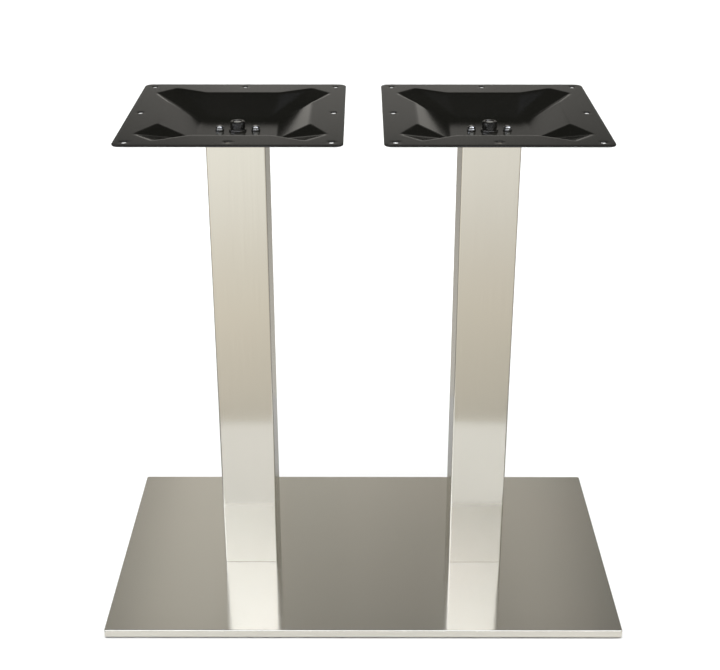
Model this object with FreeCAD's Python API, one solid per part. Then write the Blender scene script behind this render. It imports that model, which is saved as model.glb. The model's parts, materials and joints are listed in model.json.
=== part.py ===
"""Twin-column table base: folded stainless base, two square columns, two pressed top plates.

Frame: origin on the floor under the middle of the base, +X along the long side of the base,
+Y to the back, +Z up. All lengths are in millimetres.
"""
import FreeCAD, Part
import math
import os

from FreeCAD import Rotation, Vector

os.makedirs("parts", exist_ok=True)

# ---- driving dimensions -------------------------------------------------------------------

# Overall
SEAT_HEIGHT = 720.0          # floor to the rims that carry the table top
COLUMN_OFFSET = 171.5        # each column's axis from the middle of the base

# Base: a folded sheet cover over a heavy steel plate
BASE_LENGTH = 740.0
BASE_DEPTH = 400.0
BASE_TOP = 14.0              # top face of the cover
COVER_SHEET = 1.5
COVER_LIP = 2.5              # height at which the folded lip ends
COVER_FOLD_RADIUS = 2.0      # outside radius of the folds along the top edges
COVER_CORNER_RADIUS = 3.0    # outside radius of the upright corners
WEIGHT_BOTTOM = 1.0
WEIGHT_SIDE_GAP = 0.2        # from the cover's inner faces to the weight plate
WEIGHT_CORNER_RADIUS = 3.5
WEIGHT_TOP_CHAMFER = 1.0     # clears the inside of the cover's folds

# Columns: square tube, with a plate welded into each end
COLUMN_SIDE = 80.0
COLUMN_WALL = 1.5
COLUMN_CORNER_RADIUS = 2.5
COLUMN_END_CHAMFER = 0.5     # on the tube's outer edges, top and bottom
END_PLATE = 8.0

# Pressed top plates
PLATE_SIDE = 292.0
PLATE_SHEET = 2.0
PLATE_CORNER_RADIUS = 11.0
DISH_DEPTH = 25.0
RIM_EDGE = 100.0             # straight edge of the dish, from the plate's axis
RIM_EDGE_HALF = 53.0         # half the length of that straight edge
LOBE_FAR = 124.0             # corner lobe's tip: the two coordinates of its cut corner
LOBE_NEAR = 98.0
FLOOR_EDGE = 54.0            # dish floor's straight edge, from the plate's axis
FLOOR_EDGE_HALF = 42.0
TABLE_HOLE_SPAN = 262.0      # spacing of the corner holes; the mid-side holes share the lines
TABLE_HOLE_RADIUS = 4.25

# Metric fasteners: shank radius, width across flats, heights
M12 = {"r": 6.0, "flats": 18.0, "nut": 10.8, "thin_nut": 6.0, "washer_r": 12.0, "washer": 2.5}
M8 = {"r": 4.0}
M6 = {"r": 3.0, "flats": 10.0, "head": 4.0, "washer_r": 6.0, "washer": 1.6, "spring_r": 5.5,
      "spring": 1.4}
THREAD_GAP = 0.05            # radial gap between a plain shank and its tapped hole
CLEARANCE_12 = 6.5           # radius of a clearance hole for M12
CLEARANCE_8 = 4.5
CLEARANCE_6 = 3.3
HEX_CHAMFER = 30.0           # degrees, on the corners of nuts and bolt heads
NUT_CROWN = 0.97             # flat circle on a hexagon's end face, as a share of its flats
BOLT_CROWN = 0.66            # the bolt heads are well rounded off

# Tie rods and their fasteners
ROD_BELOW_NUT = 1.0          # the rod's upper end lies this far below the nut's top face
ROD_CHAMFER = 1.2
NUT_POCKET_RADIUS = 15.0
NUT_POCKET_TOP = 10.3        # ceiling of the pocket under the base
BOLT_OFFSET = 24.5           # the two top bolts, each side of the tie rod, along X
BOLT_LENGTH = 20.0
BOLT_TURN = {"left": (0.0, 3.0), "right": (-2.0, 2.0)}   # degrees each head has turned
FOOT_SCREW_LENGTH = 20.0
FOOT_SCREW_SINK = 0.2        # countersunk head below the weight plate's underside
FOOT_SCREW_HEAD_R = 8.0
FOOT_SCREW_SOCKET = 5.0      # across flats
FOOT_SCREW_SOCKET_DEPTH = 3.0

# Levelling feet: a glide that can't turn, on a threaded stud that turns in it
FOOT_INSET = 45.0            # foot's axis from the base's outer edges
PAD_RADIUS = 15.0
PAD_HEIGHT = 4.0
PAD_EDGE = 0.8               # rounding at the glide's lower edge
PAD_POCKET_RADIUS = 17.0
STUD_TOP = 12.3
STUD_FLANGE_RADIUS = 7.0
STUD_FLANGE_LOW = 1.2
STUD_FLANGE_HIGH = 2.8
STUD_GAP = 0.08              # running gap between stud and glide
STUD_SOCKET = 4.0            # hexagon socket across flats, turned from below
STUD_SOCKET_DEPTH = 5.0
STUD_KEY_HOLE_RADIUS = 3.0   # hole in the glide that lets the key through

# ---- heights that follow -------------------------------------------------------------------

COVER_INSIDE = BASE_TOP - COVER_SHEET
DISH_FLOOR = SEAT_HEIGHT - DISH_DEPTH
COLUMN_TOP = DISH_FLOOR - PLATE_SHEET
TOP_NUT_LOW = DISH_FLOOR + M12["washer"]
TOP_NUT_HIGH = TOP_NUT_LOW + M12["nut"]
ROD_TOP = TOP_NUT_HIGH - ROD_BELOW_NUT
BOTTOM_NUT_HIGH = NUT_POCKET_TOP - M12["washer"]
BOTTOM_NUT_LOW = BOTTOM_NUT_HIGH - M12["thin_nut"]
ROD_BOTTOM = BOTTOM_NUT_LOW + 0.5
BOLT_WASHER_HIGH = DISH_FLOOR + M6["washer"]
TOP_BOLT_SEAT = BOLT_WASHER_HIGH + M6["spring"]

SIDES = {"left": -COLUMN_OFFSET, "right": COLUMN_OFFSET}
FEET = {
    "front_left": (-1, -1),
    "front_right": (1, -1),
    "back_left": (-1, 1),
    "back_right": (1, 1),
}


# ---- shapes ----------------------------------------------------------------------------------

def cylinder(radius, low, high, x=0.0, y=0.0):
    return Part.makeCylinder(radius, high - low, Vector(x, y, low))


def cone(low_radius, high_radius, low, high, x=0.0, y=0.0):
    return Part.makeCone(low_radius, high_radius, high - low, Vector(x, y, low))


def upright_edges(solid):
    """The straight edges of a prism that run along Z."""
    return [e for e in solid.Edges if abs(e.BoundBox.ZLength - solid.BoundBox.ZLength) < 1e-6]


def edges_at(solid, height):
    """The edges that lie wholly at one height."""
    return [e for e in solid.Edges
            if abs(e.BoundBox.ZMin - height) < 1e-6 and abs(e.BoundBox.ZMax - height) < 1e-6]


def rounded_box(length, depth, low, high, radius, x=0.0):
    """A box centred on (x, 0) with rounded upright edges."""
    corner = Vector(x - length / 2, -depth / 2, low)
    box = Part.makeBox(length, depth, high - low, corner)
    return box.makeFillet(radius, upright_edges(box))


def hexagon(flats, low, high, x=0.0, y=0.0, turn=0.0):
    """A hexagonal prism with two corners on the X direction when turn is 0."""
    radius = flats / math.sqrt(3)
    points = []
    for k in range(7):
        angle = math.radians(60 * k + turn)
        points.append(Vector(x + radius * math.cos(angle), y + radius * math.sin(angle), low))
    face = Part.Face(Part.makePolygon(points))
    return face.extrude(Vector(0, 0, high - low))


def corner_cap(flats, crown, low, high, x, y=0.0, bottom=True):
    """The turned body whose cones take the sharp corners off a hexagon."""
    inner = flats / 2 * crown
    outer = flats / math.sqrt(3) + 0.5
    drop = (outer - inner) * math.tan(math.radians(HEX_CHAMFER))
    body = cylinder(outer, low, high, x, y)
    ring = cylinder(outer + 1, high - drop, high, x, y)
    body = body.cut(ring.cut(cone(outer, inner, high - drop, high, x, y)))
    if bottom:
        ring = cylinder(outer + 1, low, low + drop, x, y)
        body = body.cut(ring.cut(cone(inner, outer, low, low + drop, x, y)))
    return body


def nut(flats, bore, low, high, x, y=0.0):
    cap = corner_cap(flats, NUT_CROWN, low, high, x, y)
    body = hexagon(flats, low, high, x, y).common(cap)
    return body.cut(cylinder(bore, low, high, x, y))


def washer(radius, bore, low, high, x, y=0.0):
    return cylinder(radius, low, high, x, y).cut(cylinder(bore, low, high, x, y))


def group(solids):
    """Separate solids kept together in one node."""
    return Part.makeCompound(solids)


# ---- base ------------------------------------------------------------------------------------

def foot_place(name):
    side, end = FEET[name]
    x = side * (BASE_LENGTH / 2 - FOOT_INSET)
    y = end * (BASE_DEPTH / 2 - FOOT_INSET)
    return x, y


def base_cover():
    """Sheet tray, open below, folded down on all four sides, drilled under each column."""
    outside = rounded_box(BASE_LENGTH, BASE_DEPTH, COVER_LIP, BASE_TOP, COVER_CORNER_RADIUS)
    outside = outside.makeFillet(COVER_FOLD_RADIUS, edges_at(outside, BASE_TOP))
    inside = rounded_box(BASE_LENGTH - 2 * COVER_SHEET, BASE_DEPTH - 2 * COVER_SHEET,
                         COVER_LIP, COVER_INSIDE, COVER_CORNER_RADIUS - COVER_SHEET)
    inside = inside.makeFillet(COVER_FOLD_RADIUS - COVER_SHEET, edges_at(inside, COVER_INSIDE))
    tray = outside.cut(inside)
    for x in SIDES.values():
        tray = tray.cut(cylinder(CLEARANCE_12, COVER_INSIDE, BASE_TOP, x))
        for offset in (-BOLT_OFFSET, BOLT_OFFSET):
            tray = tray.cut(cylinder(CLEARANCE_8, COVER_INSIDE, BASE_TOP, x + offset))
    return tray


def base_weight_plate():
    """Heavy plate inside the cover, with pockets below for the feet, nuts and screws."""
    inset = COVER_SHEET + WEIGHT_SIDE_GAP
    plate = rounded_box(BASE_LENGTH - 2 * inset, BASE_DEPTH - 2 * inset,
                        WEIGHT_BOTTOM, COVER_INSIDE, WEIGHT_CORNER_RADIUS)
    plate = plate.makeChamfer(WEIGHT_TOP_CHAMFER, edges_at(plate, COVER_INSIDE))
    sink_low = WEIGHT_BOTTOM + FOOT_SCREW_SINK
    for x in SIDES.values():
        plate = plate.cut(cylinder(NUT_POCKET_RADIUS, WEIGHT_BOTTOM, NUT_POCKET_TOP, x))
        plate = plate.cut(cylinder(CLEARANCE_12, NUT_POCKET_TOP, COVER_INSIDE, x))
        for offset in (-BOLT_OFFSET, BOLT_OFFSET):
            at = x + offset
            sink_high = sink_low + FOOT_SCREW_HEAD_R
            plate = plate.cut(cylinder(CLEARANCE_8, WEIGHT_BOTTOM, COVER_INSIDE, at))
            plate = plate.cut(cylinder(FOOT_SCREW_HEAD_R, WEIGHT_BOTTOM, sink_low, at))
            plate = plate.cut(cone(FOOT_SCREW_HEAD_R, 0.0, sink_low, sink_high, at))
    for name in FEET:
        x, y = foot_place(name)
        plate = plate.cut(cylinder(PAD_POCKET_RADIUS, WEIGHT_BOTTOM, PAD_HEIGHT, x, y))
        plate = plate.cut(cylinder(M8["r"] + THREAD_GAP, PAD_HEIGHT, COVER_INSIDE, x, y))
    return plate


def foot_pad(name):
    """Round glide with a captive seat for the stud's flange."""
    x, y = foot_place(name)
    pad = cylinder(PAD_RADIUS, 0.0, PAD_HEIGHT, x, y)
    pad = pad.makeFillet(PAD_EDGE, edges_at(pad, 0.0))
    seat = cylinder(STUD_FLANGE_RADIUS + STUD_GAP, STUD_FLANGE_LOW - STUD_GAP,
                    STUD_FLANGE_HIGH + STUD_GAP, x, y)
    pad = pad.cut(seat)
    pad = pad.cut(cylinder(M8["r"] + STUD_GAP, STUD_FLANGE_HIGH, PAD_HEIGHT, x, y))
    return pad.cut(cylinder(STUD_KEY_HOLE_RADIUS, 0.0, STUD_FLANGE_LOW, x, y))


def foot_stud(name):
    """Threaded stud with a flange below and a hexagon socket for the key."""
    x, y = foot_place(name)
    flange = cylinder(STUD_FLANGE_RADIUS, STUD_FLANGE_LOW, STUD_FLANGE_HIGH, x, y)
    shank = cylinder(M8["r"], STUD_FLANGE_HIGH, STUD_TOP, x, y)
    shank = shank.makeChamfer(ROD_CHAMFER / 2, edges_at(shank, STUD_TOP))
    socket = hexagon(STUD_SOCKET, STUD_FLANGE_LOW, STUD_FLANGE_LOW + STUD_SOCKET_DEPTH, x, y)
    return flange.fuse(shank).removeSplitter().cut(socket)


# ---- columns ---------------------------------------------------------------------------------

def column_tube(x):
    bore_side = COLUMN_SIDE - 2 * COLUMN_WALL
    bore_radius = COLUMN_CORNER_RADIUS - COLUMN_WALL
    outside = rounded_box(COLUMN_SIDE, COLUMN_SIDE, BASE_TOP, COLUMN_TOP, COLUMN_CORNER_RADIUS, x)
    ends = edges_at(outside, BASE_TOP) + edges_at(outside, COLUMN_TOP)
    outside = outside.makeChamfer(COLUMN_END_CHAMFER, ends)
    inside = rounded_box(bore_side, bore_side, BASE_TOP, COLUMN_TOP, bore_radius, x)
    return outside.cut(inside)


def end_plate(x, low, thread):
    """Plate welded inside a tube's end: clearance hole for the rod, two tapped holes."""
    side = COLUMN_SIDE - 2 * COLUMN_WALL
    plate = rounded_box(side, side, low, low + END_PLATE, COLUMN_CORNER_RADIUS - COLUMN_WALL, x)
    plate = plate.cut(cylinder(CLEARANCE_12, low, low + END_PLATE, x))
    for offset in (-BOLT_OFFSET, BOLT_OFFSET):
        tapped = cylinder(thread["r"] + THREAD_GAP, low, low + END_PLATE, x + offset)
        plate = plate.cut(tapped)
    return plate


def tie_rod(x):
    """Threaded rod that clamps the top plate, the column and the base together."""
    rod = cylinder(M12["r"], ROD_BOTTOM, ROD_TOP, x)
    ends = edges_at(rod, ROD_BOTTOM) + edges_at(rod, ROD_TOP)
    return rod.makeChamfer(ROD_CHAMFER, ends)


def countersunk_screw(x):
    """Screw that goes up through the weight plate and cover into the column's end plate."""
    low = WEIGHT_BOTTOM + FOOT_SCREW_SINK
    taper = FOOT_SCREW_HEAD_R - M8["r"]
    head = cone(FOOT_SCREW_HEAD_R, M8["r"], low, low + taper, x)
    shank = cylinder(M8["r"], low + taper, low + FOOT_SCREW_LENGTH, x)
    socket = hexagon(FOOT_SCREW_SOCKET, low, low + FOOT_SCREW_SOCKET_DEPTH, x)
    return head.fuse(shank).removeSplitter().cut(socket)


def hex_bolt(x, turn):
    """Bolt that goes down through the dish floor into the column's upper end plate."""
    low = TOP_BOLT_SEAT
    high = low + M6["head"]
    cap = corner_cap(M6["flats"], BOLT_CROWN, low, high, x, bottom=False)
    head = hexagon(M6["flats"], low, high, x, 0.0, turn).common(cap)
    shank = cylinder(M6["r"], low - BOLT_LENGTH, low, x)
    shank = shank.makeChamfer(ROD_CHAMFER / 2, edges_at(shank, low - BOLT_LENGTH))
    return head.fuse(shank)


# ---- pressed top plates ------------------------------------------------------------------------

def quadrant_points(points, quarter, height, x):
    """Plan points of one quadrant, turned by quarter turns about the plate's axis."""
    turn = Rotation(Vector(0, 0, 1), 90 * quarter)
    return [turn.multVec(Vector(px, py, 0)) + Vector(x, 0, height) for px, py in points]


def dish_block(x, rim_height, floor_height):
    """Solid body of flat faces: the hollow of the dish, from its rim outline to its floor."""
    rim_plan = [(RIM_EDGE, RIM_EDGE_HALF), (LOBE_FAR, LOBE_NEAR),
                (LOBE_NEAR, LOBE_FAR), (RIM_EDGE_HALF, RIM_EDGE)]
    floor_plan = [(FLOOR_EDGE, FLOOR_EDGE_HALF), (FLOOR_EDGE_HALF, FLOOR_EDGE)]
    rims = [quadrant_points(rim_plan, q, rim_height, x) for q in range(4)]
    floors = [quadrant_points(floor_plan, q, floor_height, x) for q in range(4)]
    outlines = [sum(rims, []), sum(floors, [])]
    for q in range(4):
        rim, floor = rims[q], floors[q]
        next_rim, next_floor = rims[(q + 1) % 4], floors[(q + 1) % 4]
        outlines.append([rim[0], rim[1], floor[0]])
        outlines.append([rim[1], rim[2], floor[1], floor[0]])
        outlines.append([rim[2], rim[3], floor[1]])
        outlines.append([rim[3], next_rim[0], next_floor[0], floor[1]])
    faces = [Part.Face(Part.makePolygon(points + points[:1])) for points in outlines]
    block = Part.Solid(Part.Shell(faces))
    if block.Volume < 0:
        block.reverse()
    return block


def table_hole_places(x):
    """Centres of the eight screw holes: four corners and four mid-sides."""
    reach = TABLE_HOLE_SPAN / 2
    steps = (-reach, 0.0, reach)
    return [(x + px, py) for px in steps for py in steps if (px, py) != (0.0, 0.0)]


def top_plate(x):
    """Pressed sheet: a flat rim with eight holes, and a dish with sloping corner channels."""
    rim_low = SEAT_HEIGHT - PLATE_SHEET
    rim = rounded_box(PLATE_SIDE, PLATE_SIDE, rim_low, SEAT_HEIGHT, PLATE_CORNER_RADIUS, x)
    plate = rim.fuse(dish_block(x, rim_low, DISH_FLOOR - PLATE_SHEET))
    plate = plate.cut(dish_block(x, SEAT_HEIGHT, DISH_FLOOR)).removeSplitter()
    for px, py in table_hole_places(x):
        plate = plate.cut(cylinder(TABLE_HOLE_RADIUS, rim_low, SEAT_HEIGHT, px, py))
    plate = plate.cut(cylinder(CLEARANCE_12, COLUMN_TOP, DISH_FLOOR, x))
    for offset in (-BOLT_OFFSET, BOLT_OFFSET):
        plate = plate.cut(cylinder(CLEARANCE_6, COLUMN_TOP, DISH_FLOOR, x + offset))
    return plate


# ---- all nodes -----------------------------------------------------------------------------------

def side_nodes(side, x):
    """Everything that belongs to one column, by node name."""
    pair = (x - BOLT_OFFSET, x + BOLT_OFFSET)
    bore12 = M12["r"] + THREAD_GAP
    bolts = [hex_bolt(at, turn) for at, turn in zip(pair, BOLT_TURN[side])]
    bolt_washers = [washer(M6["washer_r"], CLEARANCE_6, DISH_FLOOR, BOLT_WASHER_HIGH, at)
                    for at in pair]
    spring_washers = [washer(M6["spring_r"], CLEARANCE_6, BOLT_WASHER_HIGH, TOP_BOLT_SEAT, at)
                      for at in pair]
    return {
        "column_tube_" + side: column_tube(x),
        "column_lower_end_plate_" + side: end_plate(x, BASE_TOP, M8),
        "column_upper_end_plate_" + side: end_plate(x, COLUMN_TOP - END_PLATE, M6),
        "tie_rod_" + side: tie_rod(x),
        "tie_rod_lower_washer_" + side: washer(M12["washer_r"], CLEARANCE_12,
                                               BOTTOM_NUT_HIGH, NUT_POCKET_TOP, x),
        "tie_rod_lower_nut_" + side: nut(M12["flats"], bore12, BOTTOM_NUT_LOW, BOTTOM_NUT_HIGH, x),
        "tie_rod_upper_washer_" + side: washer(M12["washer_r"], CLEARANCE_12,
                                               DISH_FLOOR, TOP_NUT_LOW, x),
        "tie_rod_upper_nut_" + side: nut(M12["flats"], bore12, TOP_NUT_LOW, TOP_NUT_HIGH, x),
        "column_foot_screws_" + side: group([countersunk_screw(at) for at in pair]),
        "top_plate_" + side: top_plate(x),
        "top_plate_bolts_" + side: group(bolts),
        "top_plate_bolt_washers_" + side: group(bolt_washers),
        "top_plate_spring_washers_" + side: group(spring_washers),
    }


nodes = {"base_cover": base_cover(), "base_weight_plate": base_weight_plate()}
for side, x in SIDES.items():
    nodes.update(side_nodes(side, x))
for name in FEET:
    nodes["foot_pad_" + name] = foot_pad(name)
    nodes["foot_stud_" + name] = foot_stud(name)

for name, shape in nodes.items():
    shape.exportStep("parts/" + name + ".step")
    box = shape.BoundBox
    print(f"{name:32s} solids {len(shape.Solids)} valid {shape.isValid()} "
          f"volume {shape.Volume / 1000:9.2f} cm3  z {box.ZMin:.2f} to {box.ZMax:.2f}")
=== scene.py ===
import json
import math

import bpy
import numpy as np
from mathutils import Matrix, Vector
from mathutils.geometry import delaunay_2d_cdt


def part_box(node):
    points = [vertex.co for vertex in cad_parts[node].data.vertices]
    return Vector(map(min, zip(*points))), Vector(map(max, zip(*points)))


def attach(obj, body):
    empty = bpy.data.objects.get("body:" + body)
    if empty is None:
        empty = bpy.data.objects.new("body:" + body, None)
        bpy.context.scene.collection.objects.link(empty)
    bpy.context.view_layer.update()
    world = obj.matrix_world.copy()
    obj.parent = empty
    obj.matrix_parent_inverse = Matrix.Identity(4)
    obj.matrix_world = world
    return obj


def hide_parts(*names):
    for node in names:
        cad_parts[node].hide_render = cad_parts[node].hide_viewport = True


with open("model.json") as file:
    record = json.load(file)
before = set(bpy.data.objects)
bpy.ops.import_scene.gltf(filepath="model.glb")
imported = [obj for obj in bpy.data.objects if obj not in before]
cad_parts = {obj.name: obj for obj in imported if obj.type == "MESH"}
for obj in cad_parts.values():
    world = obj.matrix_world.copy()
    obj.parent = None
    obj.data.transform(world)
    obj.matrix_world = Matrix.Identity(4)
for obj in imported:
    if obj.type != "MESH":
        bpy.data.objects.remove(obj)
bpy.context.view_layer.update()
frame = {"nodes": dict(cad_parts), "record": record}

MM = 0.001
SIDES = ("left", "right")
CORNERS = ("front_left", "front_right", "back_left", "back_right")


# ---- node materials --------------------------------------------------------------------------

class Finish:
    """A node material with short names for the nodes that the finishes below share."""

    def __init__(self, name):
        self.material = bpy.data.materials.new(name)
        self.material.use_nodes = True
        self.nodes = self.material.node_tree.nodes
        self.links = self.material.node_tree.links
        self.shader = self.nodes["Principled BSDF"]
        self.place = self.node("ShaderNodeTexCoord").outputs["Object"]

    def node(self, kind, **settings):
        made = self.nodes.new(kind)
        for key, value in settings.items():
            setattr(made, key, value)
        return made

    def put(self, value, socket):
        """Links an output to an input, or sets the input to a plain value."""
        if isinstance(value, bpy.types.NodeSocket):
            self.links.new(value, socket)
        else:
            socket.default_value = value

    def noise(self, scale, detail=3.0, roughness=0.55, stretch=(1, 1, 1), lift=0.0):
        """Noise over object coordinates in metres.

        A small stretch value makes long streaks, and lift picks another stretch of the pattern.
        """
        mapping = self.node("ShaderNodeMapping")
        mapping.inputs["Scale"].default_value = stretch
        mapping.inputs["Location"].default_value = (lift, lift, lift)
        self.put(self.place, mapping.inputs["Vector"])
        noise = self.node("ShaderNodeTexNoise")
        noise.inputs["Scale"].default_value = scale
        noise.inputs["Detail"].default_value = detail
        noise.inputs["Roughness"].default_value = roughness
        self.put(mapping.outputs["Vector"], noise.inputs["Vector"])
        return noise.outputs["Fac"]

    def spread(self, value, low, high, from_low=0.3, from_high=0.7):
        """Maps one range to another. Unless told otherwise, it maps the middle of a noise."""
        ranged = self.node("ShaderNodeMapRange")
        ranged.inputs["From Min"].default_value = from_low
        ranged.inputs["From Max"].default_value = from_high
        ranged.inputs["To Min"].default_value = low
        ranged.inputs["To Max"].default_value = high
        self.put(value, ranged.inputs["Value"])
        return ranged.outputs["Result"]

    def blend(self, factor, first, second):
        mix = self.node("ShaderNodeMix", data_type="RGBA")
        self.put(factor, mix.inputs["Factor"])
        self.put(first, mix.inputs["A"])
        self.put(second, mix.inputs["B"])
        return mix.outputs["Result"]

    def bump(self, height, distance, strength=1.0, under=None):
        bump = self.node("ShaderNodeBump")
        bump.inputs["Strength"].default_value = strength
        bump.inputs["Distance"].default_value = distance
        self.put(height, bump.inputs["Height"])
        if under is not None:
            self.put(under, bump.inputs["Normal"])
        return bump.outputs["Normal"]

    def vector_math(self, operation, first, second):
        made = self.node("ShaderNodeVectorMath", operation=operation)
        self.put(first, made.inputs[0])
        self.put(second, made.inputs[1])
        return made

    def scaled(self, shade, factor):
        made = self.vector_math("SCALE", shade, (1, 1, 1))
        self.put(factor, made.inputs["Scale"])
        return made.outputs["Vector"]

    def arithmetic(self, operation, first, second=0.0):
        made = self.node("ShaderNodeMath", operation=operation)
        self.put(first, made.inputs[0])
        self.put(second, made.inputs[1])
        return made.outputs["Value"]

    def split(self, vector):
        parts = self.node("ShaderNodeSeparateXYZ")
        self.put(vector, parts.inputs["Vector"])
        return parts.outputs

    def ramp_over(self, value, stops, tint=(1, 1, 1)):
        """A colour ramp over the range of its (position, level) stops."""
        low, high = stops[0][0], stops[-1][0]
        ramp = self.node("ShaderNodeValToRGB")
        self.put(self.spread(value, 0.0, 1.0, low, high), ramp.inputs["Fac"])
        fill_ramp(ramp.color_ramp, [((at - low) / (high - low), tuple(level * t for t in tint))
                                    for at, level in stops])
        return ramp.outputs["Color"]

    def set(self, **values):
        """Fills the shader's inputs and returns the material."""
        for key, value in values.items():
            self.put(value, self.shader.inputs[key.replace("_", " ")])
        return self.material


def color(red, green, blue):
    return (red, green, blue, 1.0)


def fill_ramp(ramp, stops):
    """stops are (position, colour or grey value) pairs."""
    ramp.elements[0].position = stops[0][0]
    ramp.elements[1].position = stops[-1][0]
    for position, shade in stops[1:-1]:
        ramp.elements.new(position)
    for element, (position, shade) in zip(ramp.elements, stops):
        element.color = color(*shade) if isinstance(shade, tuple) else color(shade, shade, shade)


# Scratches per metre along the grain and across it.
FINE_SCRATCHES = (14, 2600)
COARSE_SCRATCHES = (3, 420)
END_GRAIN = 5.0                  # how firmly the grain turns upright on faces that look along x


def brushed_steel(name, upright):
    """Stainless steel with long fine scratches. Highlights spread across the grain only."""
    f = Finish(name)

    def scratches(along, across, lift=0.0):
        stretch = (across, across, along) if upright else (along, across, across)
        return f.noise(1.0, 3.0, 0.6, stretch, lift)

    fine = scratches(*FINE_SCRATCHES)
    coarse = scratches(*COARSE_SCRATCHES, lift=3.7)
    clouds = f.noise(4.0, 2.0, 0.5, lift=1.9)
    tint = f.blend(f.spread(clouds, 0.0, 1.0), color(0.572, 0.550, 0.492),
                   color(0.558, 0.545, 0.487))
    shade = f.arithmetic("MULTIPLY", f.spread(fine, 0.97, 1.03, 0.25, 0.75),
                         f.spread(coarse, 0.988, 1.012, 0.25, 0.75))
    normal = f.node("ShaderNodeNewGeometry").outputs["Normal"]
    if upright:
        grain = (0.0, 0.0, 1.0)
    else:
        sideways = f.arithmetic("ABSOLUTE", f.split(normal)["X"])
        axis = f.node("ShaderNodeCombineXYZ")
        axis.inputs["X"].default_value = 1.0
        f.put(f.arithmetic("MULTIPLY", sideways, END_GRAIN), axis.inputs["Z"])
        grain = axis.outputs["Vector"]
    across = f.vector_math("CROSS_PRODUCT", normal, grain)
    return f.set(Base_Color=f.scaled(tint, shade), Metallic=1.0,
                 Roughness=f.spread(fine, 0.155, 0.185), Anisotropic=1.0,
                 Tangent=across.outputs["Vector"], Normal=f.bump(coarse, 0.000003, 0.4))


def powder_coat():
    """Black satin powder coat: a fine orange-peel skin over pressed sheet."""
    f = Finish("black_powder_coat")
    peel = f.noise(1100.0, 2.0, 0.5)
    grain = f.noise(5200.0, 1.0, 0.5, lift=4.1)
    clouds = f.noise(14.0, 3.0, 0.5, lift=2.3)
    shade = f.blend(f.spread(clouds, 0.0, 1.0), color(0.0052, 0.0053, 0.0042),
                    color(0.0068, 0.0068, 0.0055))
    speck = f.blend(f.spread(grain, 0.0, 0.5, 0.5, 0.75), shade, color(0.012, 0.012, 0.0105))
    normal = f.bump(grain, 0.000006, 0.3, f.bump(peel, 0.00002, 0.4))
    return f.set(Base_Color=speck, Roughness=f.spread(peel, 0.15, 0.19), Normal=normal)


def plated(name, light, dark, roughness, metallic=1.0):
    """Plated or blackened fastener steel with faint mottling."""
    f = Finish(name)
    mottle = f.noise(420.0, 4.0, 0.6)
    fine = f.noise(2600.0, 2.0, 0.5, lift=2.2)
    shade = f.blend(f.spread(mottle, 0.0, 1.0), light, dark)
    return f.set(Base_Color=shade, Metallic=metallic, Roughness=f.spread(mottle, *roughness),
                 Normal=f.bump(fine, 0.00002, 0.3))


def painted_steel():
    """Matt black paint on the weight plate."""
    f = Finish("painted_steel")
    texture = f.noise(700.0, 4.0, 0.6)
    shade = f.blend(f.spread(texture, 0.0, 1.0), color(0.014, 0.014, 0.013),
                    color(0.024, 0.023, 0.021))
    return f.set(Base_Color=shade, Roughness=f.spread(texture, 0.5, 0.7),
                 Normal=f.bump(texture, 0.00008, 0.5))


def raw_steel():
    """Mill-finish plate with dark scale patches."""
    f = Finish("raw_steel")
    scale = f.noise(60.0, 5.0, 0.65)
    fine = f.noise(900.0, 3.0, 0.6, lift=1.3)
    shade = f.blend(f.spread(scale, 0.0, 1.0), color(0.16, 0.155, 0.15),
                    color(0.34, 0.33, 0.315))
    return f.set(Base_Color=shade, Metallic=0.9, Roughness=f.spread(scale, 0.35, 0.6),
                 Normal=f.bump(fine, 0.00004, 0.5))


def moulded_nylon():
    """Black moulded nylon with a fine spark-eroded texture."""
    f = Finish("black_nylon")
    grain = f.noise(1800.0, 3.0, 0.6)
    shade = f.blend(f.spread(grain, 0.0, 1.0), color(0.018, 0.018, 0.018),
                    color(0.030, 0.030, 0.029))
    return f.set(Base_Color=shade, Roughness=f.spread(grain, 0.45, 0.62),
                 Normal=f.bump(grain, 0.00005, 0.6))


FINISHES = {
    "column_steel": brushed_steel("column_steel", upright=True),
    "base_steel": brushed_steel("base_steel", upright=False),
    "powder": powder_coat(),
    "zinc": plated("bright_zinc", color(0.80, 0.81, 0.80), color(0.66, 0.67, 0.67),
                   (0.12, 0.24)),
    "dark": plated("dark_fastener", color(0.18, 0.176, 0.164), color(0.10, 0.098, 0.092),
                   (0.14, 0.24), metallic=0.95),
    "paint": painted_steel(),
    "raw": raw_steel(),
    "nylon": moulded_nylon(),
}


# ---- mesh helpers ------------------------------------------------------------------------------

def make_piece(name, points, faces, node, finish, sharp):
    """A mesh piece that stands for one CAD node and rides on that node's body.

    Edges that bend by more than sharp degrees stay crisp.
    """
    mesh = bpy.data.meshes.new(name)
    mesh.from_pydata([tuple(p) for p in points], [], faces)
    mesh.validate()
    mesh.shade_smooth()
    mesh.set_sharp_from_angle(angle=math.radians(sharp))
    mesh.materials.append(FINISHES[finish])
    piece = bpy.data.objects.new(name, mesh)
    bpy.context.scene.collection.objects.link(piece)
    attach(piece, BODY_OF[node])
    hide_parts(node)
    return piece


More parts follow.
